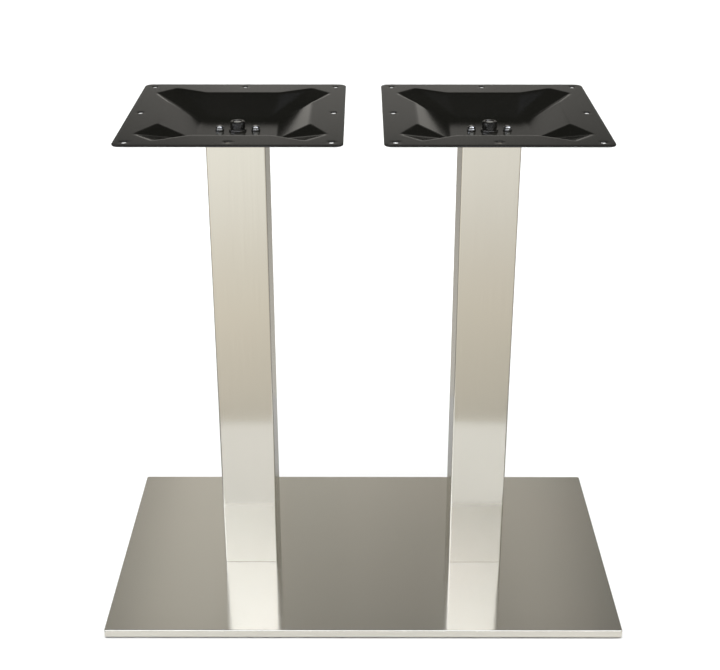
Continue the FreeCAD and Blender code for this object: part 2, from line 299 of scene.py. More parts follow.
class Turned:
    """Solids made of rings round an upright axis, gathered into one mesh."""

    def __init__(self):
        self.points = []
        self.faces = []

    def ring(self, x, y, radius, height, angles):
        first = len(self.points)
        radius = np.broadcast_to(radius, angles.shape)
        height = np.broadcast_to(height, angles.shape)
        xs = x + radius * np.cos(angles)
        ys = y + radius * np.sin(angles)
        self.points.extend(zip(xs.tolist(), ys.tolist(), height.tolist()))
        return first

    def join(self, a, b, count):
        for i in range(count):
            j = (i + 1) % count
            self.faces.append((a + i, b + i, b + j, a + j))

    def cap(self, a, count, flip):
        ring = list(range(a, a + count))
        self.faces.append(tuple(ring if flip else reversed(ring)))

    def solid(self, x, y, rows, angles, closed):
        """Joins rings into one solid, closed on itself or capped at both ends.

        rows are (radius, height) pairs, each a number or one value per angle. They go down the
        outside, and in a closed solid up the inside.
        """
        starts = [self.ring(x, y, radius, height, angles) for radius, height in rows]
        for a, b in zip(starts, starts[1:]):
            self.join(a, b, len(angles))
        if closed:
            self.join(starts[-1], starts[0], len(angles))
        else:
            self.cap(starts[0], len(angles), True)
            self.cap(starts[-1], len(angles), False)


SCREW_POINTS = 72                # points round a hexagon, a thread or a glide
WASHER_POINTS = 64
ROD_POINTS = 48
HOLE_POINTS = 36


def around(count, turn=0.0):
    """Evenly spaced angles round a circle, turned by some degrees."""
    return np.arange(count) * (2 * math.pi / count) + math.radians(turn)


HEXAGON_CORNER = 0.988           # of the distance to a sharp corner


def hexagon_radius(flats, angles, turn=0.0):
    """Distance from the axis to a hexagon's side, with its corners slightly rounded."""
    sector = math.radians(60)
    from_flat = (angles - math.radians(turn)) % sector - sector / 2
    return np.minimum(flats / 2 / np.cos(from_flat), flats / math.sqrt(3) * HEXAGON_CORNER)


THREAD_RINGS = 6                 # rings of points per pitch
THREAD_CREST = 0.12              # flat crest, as a share of the pitch
THREAD_FLANKS = 0.72             # both flanks together, as a share of the pitch


def thread_rows(crest, root, pitch, low, high, angles, fade_low=1.0, fade_high=1.0):
    """Rings of a screw thread from high to low, fading out over the last turns."""
    count = int(round((high - low) / pitch * THREAD_RINGS))
    rows = []
    for height in np.linspace(high, low, count + 1):
        phase = (height / pitch - angles / (2 * math.pi)) % 1.0
        shape = np.clip((np.abs(2 * phase - 1) - THREAD_CREST) / THREAD_FLANKS, 0.0, 1.0)
        fade = min(1.0, (high - height) / (fade_high * pitch) if fade_high else 1.0,
                   (height - low) / (fade_low * pitch) if fade_low else 1.0)
        rows.append((crest - (crest - root) * shape * fade, float(height)))
    return rows


def arc_rows(radius, height, size, start, end, steps=3):
    """Rounded corner of a profile about a centre, from one angle to another in degrees."""
    rows = []
    for k in range(steps + 1):
        angle = math.radians(start + (end - start) * k / steps)
        rows.append((radius + size * math.cos(angle), height + size * math.sin(angle)))
    return rows


BODY_OF = {node: body for body, members in frame["record"]["behaviour"]["bodies"].items()
           for node in members}


def middle(node):
    """Centre, lowest and highest corner of a CAD node at rest."""
    low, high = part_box(node)
    return (low + high) / 2, low, high


# ---- pressed top plates --------------------------------------------------------------------------

RIM_EDGE = 100 * MM              # the dish starts here, from the plate's middle
RIM_EDGE_HALF = 53 * MM          # half the length of that straight edge
LOBE_FAR = 124 * MM              # tip of a corner channel, along one side and the other
LOBE_NEAR = 98 * MM
FLOOR_EDGE = 54 * MM             # the flat floor ends here
FLOOR_EDGE_HALF = 42 * MM
PLATE_SHEET = 2.0 * MM
PLATE_CORNER = 11 * MM
HOLE_REACH = 131 * MM            # rim holes, from the plate's middle
HOLE_RADIUS = 4.25 * MM
ROD_HOLE = 6.5 * MM
BOLT_HOLE = 3.3 * MM
BOLT_REACH = 24.5 * MM           # bolts and foot screws, from the column's axis
PRESS_RADIUS = 1.6 * MM          # softness of the pressed creases
PRESS_STEP = 1 * MM              # grid of the table that holds the softened depth
CUT_EDGE = 0.5 * MM              # rounding along cut edges
# The rounded cut edge: way in from the edge and way down, as shares of its size.
CUT_PROFILE = ((0.36, 0.10), (0.08, 0.40), (0.0, 1.0))
OUTLINE_SPACING = 4 * MM
CORNER_STEPS = 8
PLATE_GRID = 1.5 * MM            # spacing of points where the sheet bends
GRID_GAP = 0.6 * PLATE_GRID      # grid points keep this far from the cut edges
FLAT_STRIDE = 4                  # flat stretches keep one grid line in this many
BEND_REACH = 1.5 * PLATE_GRID    # a point's bend is taken between points this far either side
FLAT_ENOUGH = 0.02 * MM          # a smaller bend counts as flat
# A triangle is in the metal if its middle is this far inside the round edges.
CORNER_MARGIN = 0.95 * CUT_EDGE
HOLE_MARGIN = 0.9 * CUT_EDGE
MERGE_WITHIN = 1e-7              # points closer than this, in metres, become one


def plane_through(p, q, r):
    """Coefficients of depth = a x + b y + c through three (x, y, depth) points."""
    rows = np.array([[p[0], p[1], 1], [q[0], q[1], 1], [r[0], r[1], 1]], float)
    return np.linalg.solve(rows, np.array([p[2], q[2], r[2]], float))


def flat_faced_depth(x, y, depth):
    """Depth of the dish below the rim before its creases are softened."""
    u = np.maximum(np.abs(x), np.abs(y))
    v = np.minimum(np.abs(x), np.abs(y))
    wall = depth * (RIM_EDGE - u) / (RIM_EDGE - FLOOR_EDGE)
    a, b, c = plane_through((RIM_EDGE, RIM_EDGE_HALF, 0), (LOBE_FAR, LOBE_NEAR, 0),
                            (FLOOR_EDGE, FLOOR_EDGE_HALF, depth))
    cheek = a * u + b * v + c
    tip_sum = LOBE_FAR + LOBE_NEAR
    floor_sum = FLOOR_EDGE + FLOOR_EDGE_HALF
    channel = depth * (tip_sum - u - v) / (tip_sum - floor_sum)
    bearing = np.arctan2(v - FLOOR_EDGE_HALF, u - FLOOR_EDGE)
    first = math.atan2(RIM_EDGE_HALF - FLOOR_EDGE_HALF, RIM_EDGE - FLOOR_EDGE)
    second = math.atan2(LOBE_NEAR - FLOOR_EDGE_HALF, LOBE_FAR - FLOOR_EDGE)
    on_floor = (u <= FLOOR_EDGE) & (u + v <= floor_sum)
    sloped = np.where(bearing < first, wall, np.where(bearing < second, cheek, channel))
    return np.clip(np.where(on_floor, depth, sloped), 0.0, depth)


def soft_depth_table(half, depth):
    """The dish's depth on a fine grid, blurred as a press tool rounds its creases."""
    step = PRESS_STEP
    count = int(round(2 * half / step)) + 1
    axis = np.linspace(-half, half, count)
    table = flat_faced_depth(*np.meshgrid(axis, axis, indexing="ij"), depth)
    reach = int(3 * PRESS_RADIUS / step)
    kernel = np.exp(-0.5 * (np.arange(-reach, reach + 1) * step / PRESS_RADIUS) ** 2)
    kernel /= kernel.sum()
    for turn in (0, 1):
        padded = np.pad(table, [(reach, reach) if k == turn else (0, 0) for k in (0, 1)], "edge")
        table = np.apply_along_axis(np.convolve, turn, padded, kernel, "valid")
    return axis, table


def look_up(axis, table, x, y):
    """Reads the depth table between its points."""
    step = axis[1] - axis[0]
    last = len(axis) - 1.001         # just short of the last point, which has none after it
    fx = np.clip((x - axis[0]) / step, 0, last)
    fy = np.clip((y - axis[0]) / step, 0, last)
    i, j = fx.astype(int), fy.astype(int)
    tx, ty = fx - i, fy - j
    near = table[i, j] * (1 - tx) + table[i + 1, j] * tx
    far = table[i, j + 1] * (1 - tx) + table[i + 1, j + 1] * tx
    return near * (1 - ty) + far * ty


def square_outline(half, radius, spacing):
    """Rounded square as points, anticlockwise; the same count for any inset of one outline."""
    points = []
    straight = int(round(2 * half / spacing))
    for k in range(4):
        turn = math.pi / 2 * k
        for i in range(CORNER_STEPS):
            angle = -math.pi / 2 + math.pi / 2 * i / CORNER_STEPS
            px = half - radius + radius * math.cos(angle)
            py = -half + radius + radius * math.sin(angle)
            points.append((px, py, turn))
        for i in range(straight):
            points.append((half, -half + radius + (2 * half - 2 * radius) * i / straight, turn))
    return np.array([(px * math.cos(t) - py * math.sin(t), px * math.sin(t) + py * math.cos(t))
                     for px, py, t in points])


def circle_outline(cx, cy, radius):
    angles = around(HOLE_POINTS)
    return np.stack([cx + radius * np.cos(angles), cy + radius * np.sin(angles)], 1)


def plate_holes():
    """(x, y, radius) of the rim holes, the rod hole and the bolt holes, from the middle."""
    reaches = (-HOLE_REACH, 0.0, HOLE_REACH)
    holes = [(x, y, HOLE_RADIUS) for x in reaches for y in reaches if (x, y) != (0.0, 0.0)]
    holes += [(0.0, 0.0, ROD_HOLE), (-BOLT_REACH, 0.0, BOLT_HOLE), (BOLT_REACH, 0.0, BOLT_HOLE)]
    return holes


def plate_loops(half, inset):
    """The plate's outline and holes, each moved into the metal by inset."""
    loops = [square_outline(half - inset, PLATE_CORNER - inset, OUTLINE_SPACING)]
    loops += [circle_outline(x, y, r + inset) for x, y, r in plate_holes()]
    return loops


def within_plate(points, half, side_gap, corner_gap, hole_gap):
    """Which points are in the metal, by the given gaps inside its sides, corners and holes."""
    inside = np.max(np.abs(points), 1) < half - side_gap
    corner = np.maximum(np.abs(points) - (half - PLATE_CORNER), 0)
    inside &= np.hypot(corner[:, 0], corner[:, 1]) < PLATE_CORNER - corner_gap
    for x, y, r in plate_holes():
        inside &= np.hypot(points[:, 0] - x, points[:, 1] - y) > r + hole_gap
    return inside


def grid_points(half, axis, table):
    """Grid points in the metal: all of them where the sheet bends, a few where it is flat."""
    count = int(round(2 * half / PLATE_GRID))
    line = np.linspace(-half, half, count + 1)
    grid = np.stack(np.meshgrid(line, line, indexing="ij"), -1).reshape(-1, 2)
    gap = CUT_EDGE + GRID_GAP
    inside = within_plate(grid, half, gap, gap, gap)
    reach = BEND_REACH
    bend = np.zeros(len(grid))
    for step in ((reach, 0.0), (0.0, reach), (reach, reach), (reach, -reach)):
        here, ahead, behind = (look_up(axis, table, grid[:, 0] + k * step[0],
                                       grid[:, 1] + k * step[1]) for k in (0, 1, -1))
        bend = np.maximum(bend, np.abs(ahead + behind - 2 * here))
    sparse = np.zeros((count + 1, count + 1), bool)
    sparse[::FLAT_STRIDE, ::FLAT_STRIDE] = True
    return grid[inside & ((bend > FLAT_ENOUGH) | sparse.ravel())]


def plate_triangles(half, loops, grid):
    """Triangles over the plate's plan, and where each input point is among their points."""
    edges = []
    first = 0
    for loop in loops:
        size = len(loop)
        edges += [(first + i, first + (i + 1) % size) for i in range(size)]
        first += size
    plan = np.concatenate(loops + [grid])
    found = delaunay_2d_cdt([Vector(p) for p in plan], edges, [], 0, MERGE_WITHIN)
    vertices = np.array([tuple(v) for v in found[0]])
    triangles = np.array(list(found[2]))
    mids = vertices[triangles].mean(1)
    keep = within_plate(mids, half, 0.0, CORNER_MARGIN, HOLE_MARGIN)
    place = {old: new for new, olds in enumerate(found[3]) for old in olds}
    return vertices, triangles[keep], place


def pressed_plate(side):
    """A dished plate of even thickness with rounded cut edges."""
    node = "top_plate_" + side
    centre, low, high = middle(node)
    half = (high.x - low.x) / 2
    axis, table = soft_depth_table(half, (high.z - low.z) - PLATE_SHEET)
    loops = plate_loops(half, CUT_EDGE)
    vertices, triangles, place = plate_triangles(half, loops, grid_points(half, axis, table))

    def lifted(plan, drop):
        heights = high.z - look_up(axis, table, plan[:, 0], plan[:, 1]) - drop
        return np.stack([plan[:, 0] + centre.x, plan[:, 1] + centre.y, heights], 1)

    points = [lifted(vertices, 0.0), lifted(vertices, PLATE_SHEET)]
    total = len(vertices)
    faces = [tuple(int(i) for i in t) for t in triangles]
    faces += [tuple(int(i) + total for i in reversed(t)) for t in triangles]
    sides = [(inset * CUT_EDGE, drop * CUT_EDGE) for inset, drop in CUT_PROFILE]
    sides += [(inset, PLATE_SHEET - drop) for inset, drop in reversed(sides)]
    rows = [plate_loops(half, inset) for inset, drop in sides]
    first, next_index = 0, 2 * total
    for k, loop in enumerate(loops):
        size = len(loop)
        chain = [[place[first + i] for i in range(size)]]
        for row, (inset, drop) in zip(rows, sides):
            points.append(lifted(row[k], drop))
            chain.append(list(range(next_index, next_index + size)))
            next_index += size
        chain.append([place[first + i] + total for i in range(size)])
        first += size
        outward = k == 0
        for a, b in zip(chain, chain[1:]):
            for i in range(size):
                j = (i + 1) % size
                quad = (a[i], b[i], b[j], a[j])
                faces.append(quad if outward else tuple(reversed(quad)))
    return make_piece("pressed_plate_" + side, np.concatenate(points), faces, node,
                      "powder", sharp=50.0)


# ---- fasteners -----------------------------------------------------------------------------------

M12_FLATS = 18 * MM
M6_FLATS = 10 * MM
M12_RADIUS = 6 * MM
M8_RADIUS = 4 * MM
M6_RADIUS = 3 * MM
M12_PITCH = 1.75 * MM
M8_PITCH = 1.25 * MM
M6_PITCH = 1.0 * MM
THREAD_DEPTH = 0.6134            # of the pitch
CREST_SLACK = 0.03 * MM          # a screw's crest is this much inside its nominal size
THREAD_GAP = 0.08 * MM           # between a nut's thread and its rod's
TIP_INSET = 0.1 * MM             # a thread's end is this much inside its root
ROD_THREAD = 60 * MM             # threaded length at each end of a tie rod
ROD_CHAMFER = 1.1 * MM
# How far each of the two bolts' heads is turned, in degrees.
BOLT_TURN = {"left": (0.0, 3.0), "right": (-2.0, 2.0)}
NUT_CROWN = 0.95                 # flat circle on a hexagon's end, as a share of its flats
NUT_MOUTH = 1.0 * MM             # depth of the countersink at each end of a nut's thread
BOLT_CROWN = 0.58                # the flat circle of a bolt's head is smaller
# A bolt head's rounded top: way out from its flat circle to its sides, and the drop there,
# as shares of the distance between them.
BOLT_DOME = ((0.0, 0.0), (0.25, 0.12), (0.6, 0.38), (1.0, 0.72))
BOLT_HEAD = 4 * MM
BOLT_FACE = 4.5 * MM             # radius of the round face under a bolt's head
BOLT_FACE_HEIGHT = 0.25 * MM
SPRING_BORE = 3.15 * MM
SPRING_SLITS = (200, -70)        # bearing of each spring washer's slit, in degrees
SLIT_HALF = 5                    # degrees
SCREW_CONE = 7.9 * MM            # widest radius of a countersunk head
SCREW_CONE_END = 4.1 * MM        # the cone reaches the shank this far above the head's face
SCREW_THREAD_START = 6 * MM
SOCKET_FLATS = 5 * MM
SOCKET_DEPTH = 3 * MM
THREAD_END = 0.6 * MM            # the thread stops this far below a screw's tip


def crown_rows(flats, crown, angles, turn, height, upward):
    """Rings over one chamfered end of a hexagon, from its flat circle out to its sides."""
    sides = hexagon_radius(flats, angles, turn)
    flat = flats / 2 * crown
    slope = math.tan(math.radians(30)) * (-1 if upward else 1)
    halfway = (flat + sides) / 2
    rows = [(flat - 0.25 * MM, height)]
    rows.append((halfway, height + slope * (halfway - flat)))
    rows.append((sides, height + slope * (sides - flat)))
    return rows


def hexagon_nut(name, node, finish):
    """A nut chamfered at both ends, with a countersunk thread."""
    centre, low, high = middle(node)
    angles = around(SCREW_POINTS)
    root = M12_RADIUS - THREAD_DEPTH * M12_PITCH
    mouth = M12_RADIUS + 0.5 * MM
    inner = thread_rows(M12_RADIUS + THREAD_GAP, root + THREAD_GAP, M12_PITCH,
                        low.z + NUT_MOUTH, high.z - NUT_MOUTH, angles, 0, 0)
    rows = crown_rows(M12_FLATS, NUT_CROWN, angles, 0.0, high.z, True)
    rows += reversed(crown_rows(M12_FLATS, NUT_CROWN, angles, 0.0, low.z, False))
    rows += [(mouth, low.z)]
    rows += reversed(inner)
    rows += [(mouth, high.z)]
    turned = Turned()
    turned.solid(centre.x, centre.y, rows, angles, True)
    return make_piece(name, turned.points, turned.faces, node, finish, sharp=28.0)


def plain_washers(name, node, centres, radius, bore, low, high, finish):
    """Flat washers with rounded edges, one at each centre."""
    turned = Turned()
    edge = 0.3 * MM
    angles = around(WASHER_POINTS)
    for x, y in centres:
        rows = arc_rows(radius - edge, high - edge, edge, 90, 0)
        rows += arc_rows(radius - edge, low + edge, edge, 0, -90)
        rows += arc_rows(bore + edge, low + edge, edge, -90, -180)
        rows += arc_rows(bore + edge, high - edge, edge, 180, 90)
        turned.solid(x, y, rows, angles, True)
    return make_piece(name, turned.points, turned.faces, node, finish, sharp=40.0)


def tie_rod(side):
    """A long rod, chamfered and threaded at both ends."""
    node = "tie_rod_" + side
    centre, low, high = middle(node)
    angles = around(ROD_POINTS)
    crest = M12_RADIUS - CREST_SLACK
    root = crest - THREAD_DEPTH * M12_PITCH
    top, foot = high.z - ROD_CHAMFER, low.z + ROD_CHAMFER
    rows = [(root - TIP_INSET, high.z), (crest, top)]
    rows += thread_rows(crest, root, M12_PITCH, high.z - ROD_THREAD, top, angles)
    rows += thread_rows(crest, root, M12_PITCH, foot, low.z + ROD_THREAD, angles)
    rows += [(crest, foot), (root - TIP_INSET, low.z)]
    turned = Turned()
    turned.solid(centre.x, centre.y, rows, angles, False)
    return make_piece("threaded_tie_rod_" + side, turned.points, turned.faces, node,
                      "zinc", sharp=32.0)


def top_bolts(side):
    """Two hexagon bolts: well rounded head, washer face and rolled thread."""
    node = "top_plate_bolts_" + side
    centre, low, high = middle(node)
    axis_x = middle("top_plate_" + side)[0].x
    seat = high.z - BOLT_HEAD
    face_top = seat + BOLT_FACE_HEIGHT
    crest = M6_RADIUS - CREST_SLACK
    root = crest - THREAD_DEPTH * M6_PITCH
    flat = M6_FLATS / 2 * BOLT_CROWN
    bevel = 0.15 * MM
    turned = Turned()
    for sign, turn in zip((-1, 1), BOLT_TURN[side]):
        angles = around(SCREW_POINTS, turn)
        sides = hexagon_radius(M6_FLATS, angles, turn)
        rows = [(1.2 * MM, high.z)]
        rows += [(flat + share * (sides - flat), high.z - drop * (sides - flat))
                 for share, drop in BOLT_DOME]
        rows += [(sides, face_top + bevel), (sides - bevel, face_top)]
        rows += [(BOLT_FACE, face_top), (BOLT_FACE, seat), (crest, seat)]
        rows += thread_rows(crest, root, M6_PITCH, low.z + 0.5 * MM, seat - 0.4 * MM, angles)
        rows += [(root - TIP_INSET, low.z)]
        turned.solid(axis_x + sign * BOLT_REACH, centre.y, rows, angles, False)
    return make_piece("hex_bolts_" + side, turned.points, turned.faces, node,
                      "zinc", sharp=28.0)


def spring_washers(side):
    """Two spring washers, each cut through by a narrow slit."""
    node = "top_plate_spring_washers_" + side
    centre, low, high = middle(node)
    axis_x = middle("top_plate_" + side)[0].x
    outer = (high.y - low.y) / 2
    edge = 0.15 * MM
    turned = Turned()
    for sign, slit in zip((-1, 1), SPRING_SLITS):
        angles = np.radians(np.linspace(slit + SLIT_HALF, slit + 360 - SLIT_HALF, 60))
        profile = [(outer, high.z - edge), (outer - edge, high.z), (SPRING_BORE, high.z),
                   (SPRING_BORE, low.z), (outer - edge, low.z), (outer, low.z + edge)]
        x = axis_x + sign * BOLT_REACH
        starts = [turned.ring(x, centre.y, radius, height, angles) for radius, height in profile]
        for k, a in enumerate(starts):
            b = starts[(k + 1) % len(starts)]
            for i in range(len(angles) - 1):
                turned.faces.append((a + i + 1, b + i + 1, b + i, a + i))
        turned.faces.append(tuple(reversed(starts)))
        turned.faces.append(tuple(a + len(angles) - 1 for a in starts))
    return make_piece("spring_washers_" + side, turned.points, turned.faces, node,
                      "zinc", sharp=40.0)


def socket_rows(flats, angles, mouth, floor):
    """Rings of a hexagon socket from its mouth inwards to its floor."""
    wall = hexagon_radius(flats, angles)
    return [(wall + 0.25 * MM, mouth), (wall, mouth + 0.25 * MM), (wall, floor),
            (0.4 * MM, floor + 0.5 * MM)]


def foot_screws(side):
    """Two countersunk socket screws that point up, with their heads under the base."""
    node = "column_foot_screws_" + side
    centre, low, high = middle(node)
    axis_x = middle("column_tube_" + side)[0].x
    crest = M8_RADIUS - CREST_SLACK
    root = crest - THREAD_DEPTH * M8_PITCH
    angles = around(SCREW_POINTS)
    turned = Turned()
    for sign in (-1, 1):
        rows = [(root - TIP_INSET, high.z)]
        rows += thread_rows(crest, root, M8_PITCH, low.z + SCREW_THREAD_START,
                            high.z - THREAD_END, angles)
        rows += [(crest, low.z + SCREW_CONE_END), (SCREW_CONE, low.z + 0.25 * MM),
                 (SCREW_CONE - 0.2 * MM, low.z)]
        rows += socket_rows(SOCKET_FLATS, angles, low.z, low.z + SOCKET_DEPTH)
        turned.solid(axis_x + sign * BOLT_REACH, centre.y, rows, angles, False)
    return make_piece("countersunk_screws_" + side, turned.points, turned.faces, node,
                      "dark", sharp=28.0)


# ---- levelling feet ------------------------------------------------------------------------------

PAD_SEAT = 7.08 * MM             # radius of the hollow that holds the stud's flange
PAD_NECK = 4.08 * MM             # radius of the hole above it
PAD_KEY_HOLE = 3 * MM            # radius of the hole for the key below it
PAD_GAP = 0.08 * MM              # between the hollow and the flange, above and below
FLANGE_LOW = 1.2 * MM            # the flange's faces above the glide's foot
FLANGE_HIGH = 2.8 * MM
FLANGE_RADIUS = 7 * MM
STUD_SOCKET_FLATS = 4 * MM
STUD_SOCKET_DEPTH = 5 * MM


def levelling_pad(corner):
    """A round glide that holds the stud's flange."""
    node = "foot_pad_" + corner
    centre, low, high = middle(node)
    radius = (high.x - low.x) / 2
    edge = 0.8 * MM
    small = 0.4 * MM
    floor = low.z + FLANGE_LOW - PAD_GAP
    ceiling = low.z + FLANGE_HIGH + PAD_GAP
    rows = arc_rows(radius - small, high.z - small, small, 90, 0)
    rows += arc_rows(radius - edge, low.z + edge, edge, 0, -90)
    rows += [(PAD_KEY_HOLE + small, low.z), (PAD_KEY_HOLE, low.z + small)]
    rows += [(PAD_KEY_HOLE, floor), (PAD_SEAT, floor)]
    rows += [(PAD_SEAT, ceiling), (PAD_NECK, ceiling)]
    rows += [(PAD_NECK, high.z - 0.3 * MM), (PAD_NECK + 0.3 * MM, high.z)]
    turned = Turned()
    turned.solid(centre.x, centre.y, rows, around(SCREW_POINTS), True)
    return make_piece("levelling_glide_" + corner, turned.points, turned.faces, node,
                      "nylon", sharp=40.0)


def levelling_stud(corner):
    """A threaded stud with a flange and a key socket at its foot."""
    node = "foot_stud_" + corner
    centre, low, high = middle(node)
    crest = M8_RADIUS - CREST_SLACK
    root = crest - THREAD_DEPTH * M8_PITCH
    flange_top = low.z + (FLANGE_HIGH - FLANGE_LOW)
    edge = 0.25 * MM
    angles = around(SCREW_POINTS)
    rows = [(root - TIP_INSET, high.z)]
    rows += thread_rows(crest, root, M8_PITCH, flange_top + 1.4 * MM, high.z - THREAD_END,
                        angles)
    rows += [(crest, flange_top)]
    rows += arc_rows(FLANGE_RADIUS - edge, flange_top - edge, edge, 90, 0, 2)
    rows += arc_rows(FLANGE_RADIUS - edge, low.z + edge, edge, 0, -90, 2)
    rows += socket_rows(STUD_SOCKET_FLATS, angles, low.z, low.z + STUD_SOCKET_DEPTH)
    turned = Turned()
    turned.solid(centre.x, centre.y, rows, angles, False)
    return make_piece("levelling_stud_" + corner, turned.points, turned.faces, node,
                      "zinc", sharp=28.0)


# ---- the object ----------------------------------------------------------------------------------

def washer_set(side):
    """The two washers on a tie rod and the pair under a plate's bolts."""
    axis = middle("column_tube_" + side)[0]
    for place, finish, slot in (("upper", "dark", "dark_fastener_steel"),
                                ("lower", "zinc", "zinc_plated_steel")):
        node = f"tie_rod_{place}_washer_{side}"
        centre, low, high = middle(node)
        plain_washers(f"{place}_washer_{side}", node, [(centre.x, centre.y)],
                      (high.x - low.x) / 2, ROD_HOLE, low.z, high.z, finish)
    node = "top_plate_bolt_washers_" + side
    centre, low, high = middle(node)
    pair = [(axis.x - BOLT_REACH, axis.y), (axis.x + BOLT_REACH, axis.y)]
    plain_washers("bolt_washers_" + side, node, pair, (high.y - low.y) / 2, BOLT_HOLE,
                  low.z, high.z, "dark")


def finish_cad_nodes():
    """CAD nodes that are shown as they are get their finish here."""
    given = {"base_cover": "base_steel", "base_weight_plate": "paint"}
    for side in SIDES:
        given["column_tube_" + side] = "column_steel"
        given["column_lower_end_plate_" + side] = "raw"
        given["column_upper_end_plate_" + side] = "raw"
    for node, finish in given.items():
        mesh = frame["nodes"][node].data
        mesh.materials.clear()
        mesh.materials.append(FINISHES[finish])


finish_cad_nodes()
for side in SIDES:
    pressed_plate(side)
    tie_rod(side)
    hexagon_nut("upper_nut_" + side, "tie_rod_upper_nut_" + side, "dark")
    hexagon_nut("lower_nut_" + side, "tie_rod_lower_nut_" + side, "zinc")
    washer_set(side)
    top_bolts(side)
    spring_washers(side)
    foot_screws(side)
for corner in CORNERS:
    levelling_pad(corner)
    levelling_stud(corner)


# ---- studio --------------------------------------------------------------------------------------

def stage_plane(name, corners, finish):
    """A flat piece of the studio with one face."""
    mesh = bpy.data.meshes.new(name)
    mesh.from_pydata(corners, [], [tuple(range(len(corners)))])
    mesh.materials.append(finish)
    plane = bpy.data.objects.new(name, mesh)
    bpy.context.scene.collection.objects.link(plane)
    return plane


def seen_only_in_reflections(thing):
    thing.visible_camera = False
    thing.visible_diffuse = False
    thing.visible_shadow = False


def pale_floor():
    f = Finish("pale_floor")
    dust = f.noise(3.0, 2.0)
    f.set(Base_Color=f.blend(f.spread(dust, 0.0, 1.0), color(0.92, 0.92, 0.92),
                             color(0.93, 0.93, 0.93)), Roughness=0.9)
    f.shader.inputs["Specular IOR Level"].default_value = 0.0
    reach = 40.0
    stage_plane("floor", [(-reach, -reach, 0), (reach, -reach, 0), (reach, reach, 0),
                          (-reach, reach, 0)], f.material)


def glowing(name, shade, strength=1.0):
    """A black finish that gives off light; shade makes its colour from the finish's nodes."""
    f = Finish(name)
    f.set(Base_Color=color(0, 0, 0), Roughness=1.0)
    f.shader.inputs["Specular IOR Level"].default_value = 0.0
    f.put(shade(f), f.shader.inputs["Emission Color"])
    f.shader.inputs["Emission Strength"].default_value = strength
    return f.material


# The object stands on a white table. Grey cards lie round it, and two panels stand behind.
TABLE_EDGE = -0.483              # y of the table's front edge
TABLE_BACK = 0.21                # y of its back edge
TABLE_SIDE = 0.385               # half its width
CARD_HEIGHT = 0.4 * MM           # the cards lie just above the floor
CARD_REACH = 14.0
PANEL_AT = 0.5                   # y of the panel behind
PANEL_REACH = 4.0                # half the width of the panels
PANEL_HEIGHT = 0.755
FAR_CARD_AT = 1.0                # y of a panel farther back, which only the plates mirror
# Colour of the card in front by the share of the way from the table out to y = FAR_EDGE. Its
# brightness also falls from left to right: from the first value to the second, between two x.
FAR_EDGE = -2.2
FRONT_CARD = ((0.0, (0.84, 0.80, 0.73)), (0.05, (0.90, 0.857, 0.78)), (0.15, (0.96, 0.915, 0.83)),
              (0.28, (1.05, 1.00, 0.91)), (0.44, (1.12, 1.08, 1.01)), (0.63, (1.22, 1.20, 1.16)),
              (0.87, (1.33, 1.32, 1.29)))
FRONT_CARD_SIDES = (1.06, 0.86, -0.5, 0.5)
BACK_CARD = ((TABLE_BACK, 0.50), (PANEL_AT, 0.60))    # brightness by y
# Brightness of the panel by height, and from left to right at its foot and higher up.
PANEL_LEVEL = ((0.0, 0.66), (0.218, 0.60), (0.32, 0.54), (0.374, 0.505), (0.432, 0.47),
               (0.496, 0.435), (0.569, 0.42), (0.65, 0.46), (PANEL_HEIGHT, 0.60))
PANEL_FOOT_SIDES = ((-0.4, 0.80), (-0.355, 0.98), (-0.335, 1.06), (-0.305, 1.19), (-0.275, 1.26),
                    (-0.215, 1.29), (-0.17, 1.15), (-0.125, 1.03), (0.0, 1.0), (0.05, 0.96),
                    (0.09, 0.93), (0.125, 0.91), (0.17, 0.94), (0.245, 0.97), (0.275, 0.93),
                    (0.305, 0.87), (0.335, 0.78), (0.355, 0.70), (0.4, 0.60))
PANEL_SIDES = ((-0.4, 0.95), (-0.355, 1.25), (-0.335, 1.40), (-0.305, 1.62), (-0.275, 1.71),
               (-0.215, 1.75), (-0.17, 1.40), (-0.125, 1.13), (-0.05, 1.05), (0.0, 1.03),
               (0.05, 0.98), (0.09, 0.95), (0.125, 0.95), (0.17, 1.05), (0.245, 1.22),
               (0.275, 1.18), (0.305, 1.07), (0.335, 0.91), (0.355, 0.77), (0.4, 0.60))
PANEL_FOOT = (0.218, 0.6)        # the foot's bands turn into the upper ones over these heights
FAN_DEPTH = 1.18                 # the bands fan out from a point this far below the floor
FAN_WIDTH = 1.196                # and have the listed widths this far above that point
# Brightness of the panel farther back by height, and from left to right.
FAR_CARD = ((0.78, 0.95), (0.84, 0.92), (0.88, 0.62), (0.92, 0.45), (0.957, 0.42), (0.997, 0.43),
            (1.045, 0.46), (1.095, 0.50), (1.105, 0.0))
FAR_CARD_SIDES = ((-0.554, 0.60), (-0.464, 0.72), (-0.40, 0.76), (-0.27, 1.0), (-0.19, 1.0),
                  (-0.135, 0.88), (-0.08, 0.88), (0.08, 0.86), (0.135, 0.86), (0.19, 0.92),
                  (0.31, 0.80), (0.40, 0.74), (0.464, 0.64), (0.554, 0.56))
PANEL_TINT = (1.0, 0.965, 0.90)


def front_card_shade(f):
    """Warm and dim by the table, white and bright farther out."""
    place = f.split(f.place)
    ramp = f.node("ShaderNodeValToRGB")
    f.put(f.spread(place["Y"], 0.0, 1.0, TABLE_EDGE, FAR_EDGE), ramp.inputs["Fac"])
    fill_ramp(ramp.color_ramp, FRONT_CARD)
    return f.scaled(ramp.outputs["Color"], f.spread(place["X"], *FRONT_CARD_SIDES))


def side_card_shade(f):
    dim = f.noise(2.0, 1.0)
    return f.blend(f.spread(dim, 0.0, 1.0), color(0.44, 0.43, 0.42), color(0.48, 0.47, 0.46))


def back_card_shade(f):
    return f.ramp_over(f.split(f.place)["Y"], BACK_CARD)


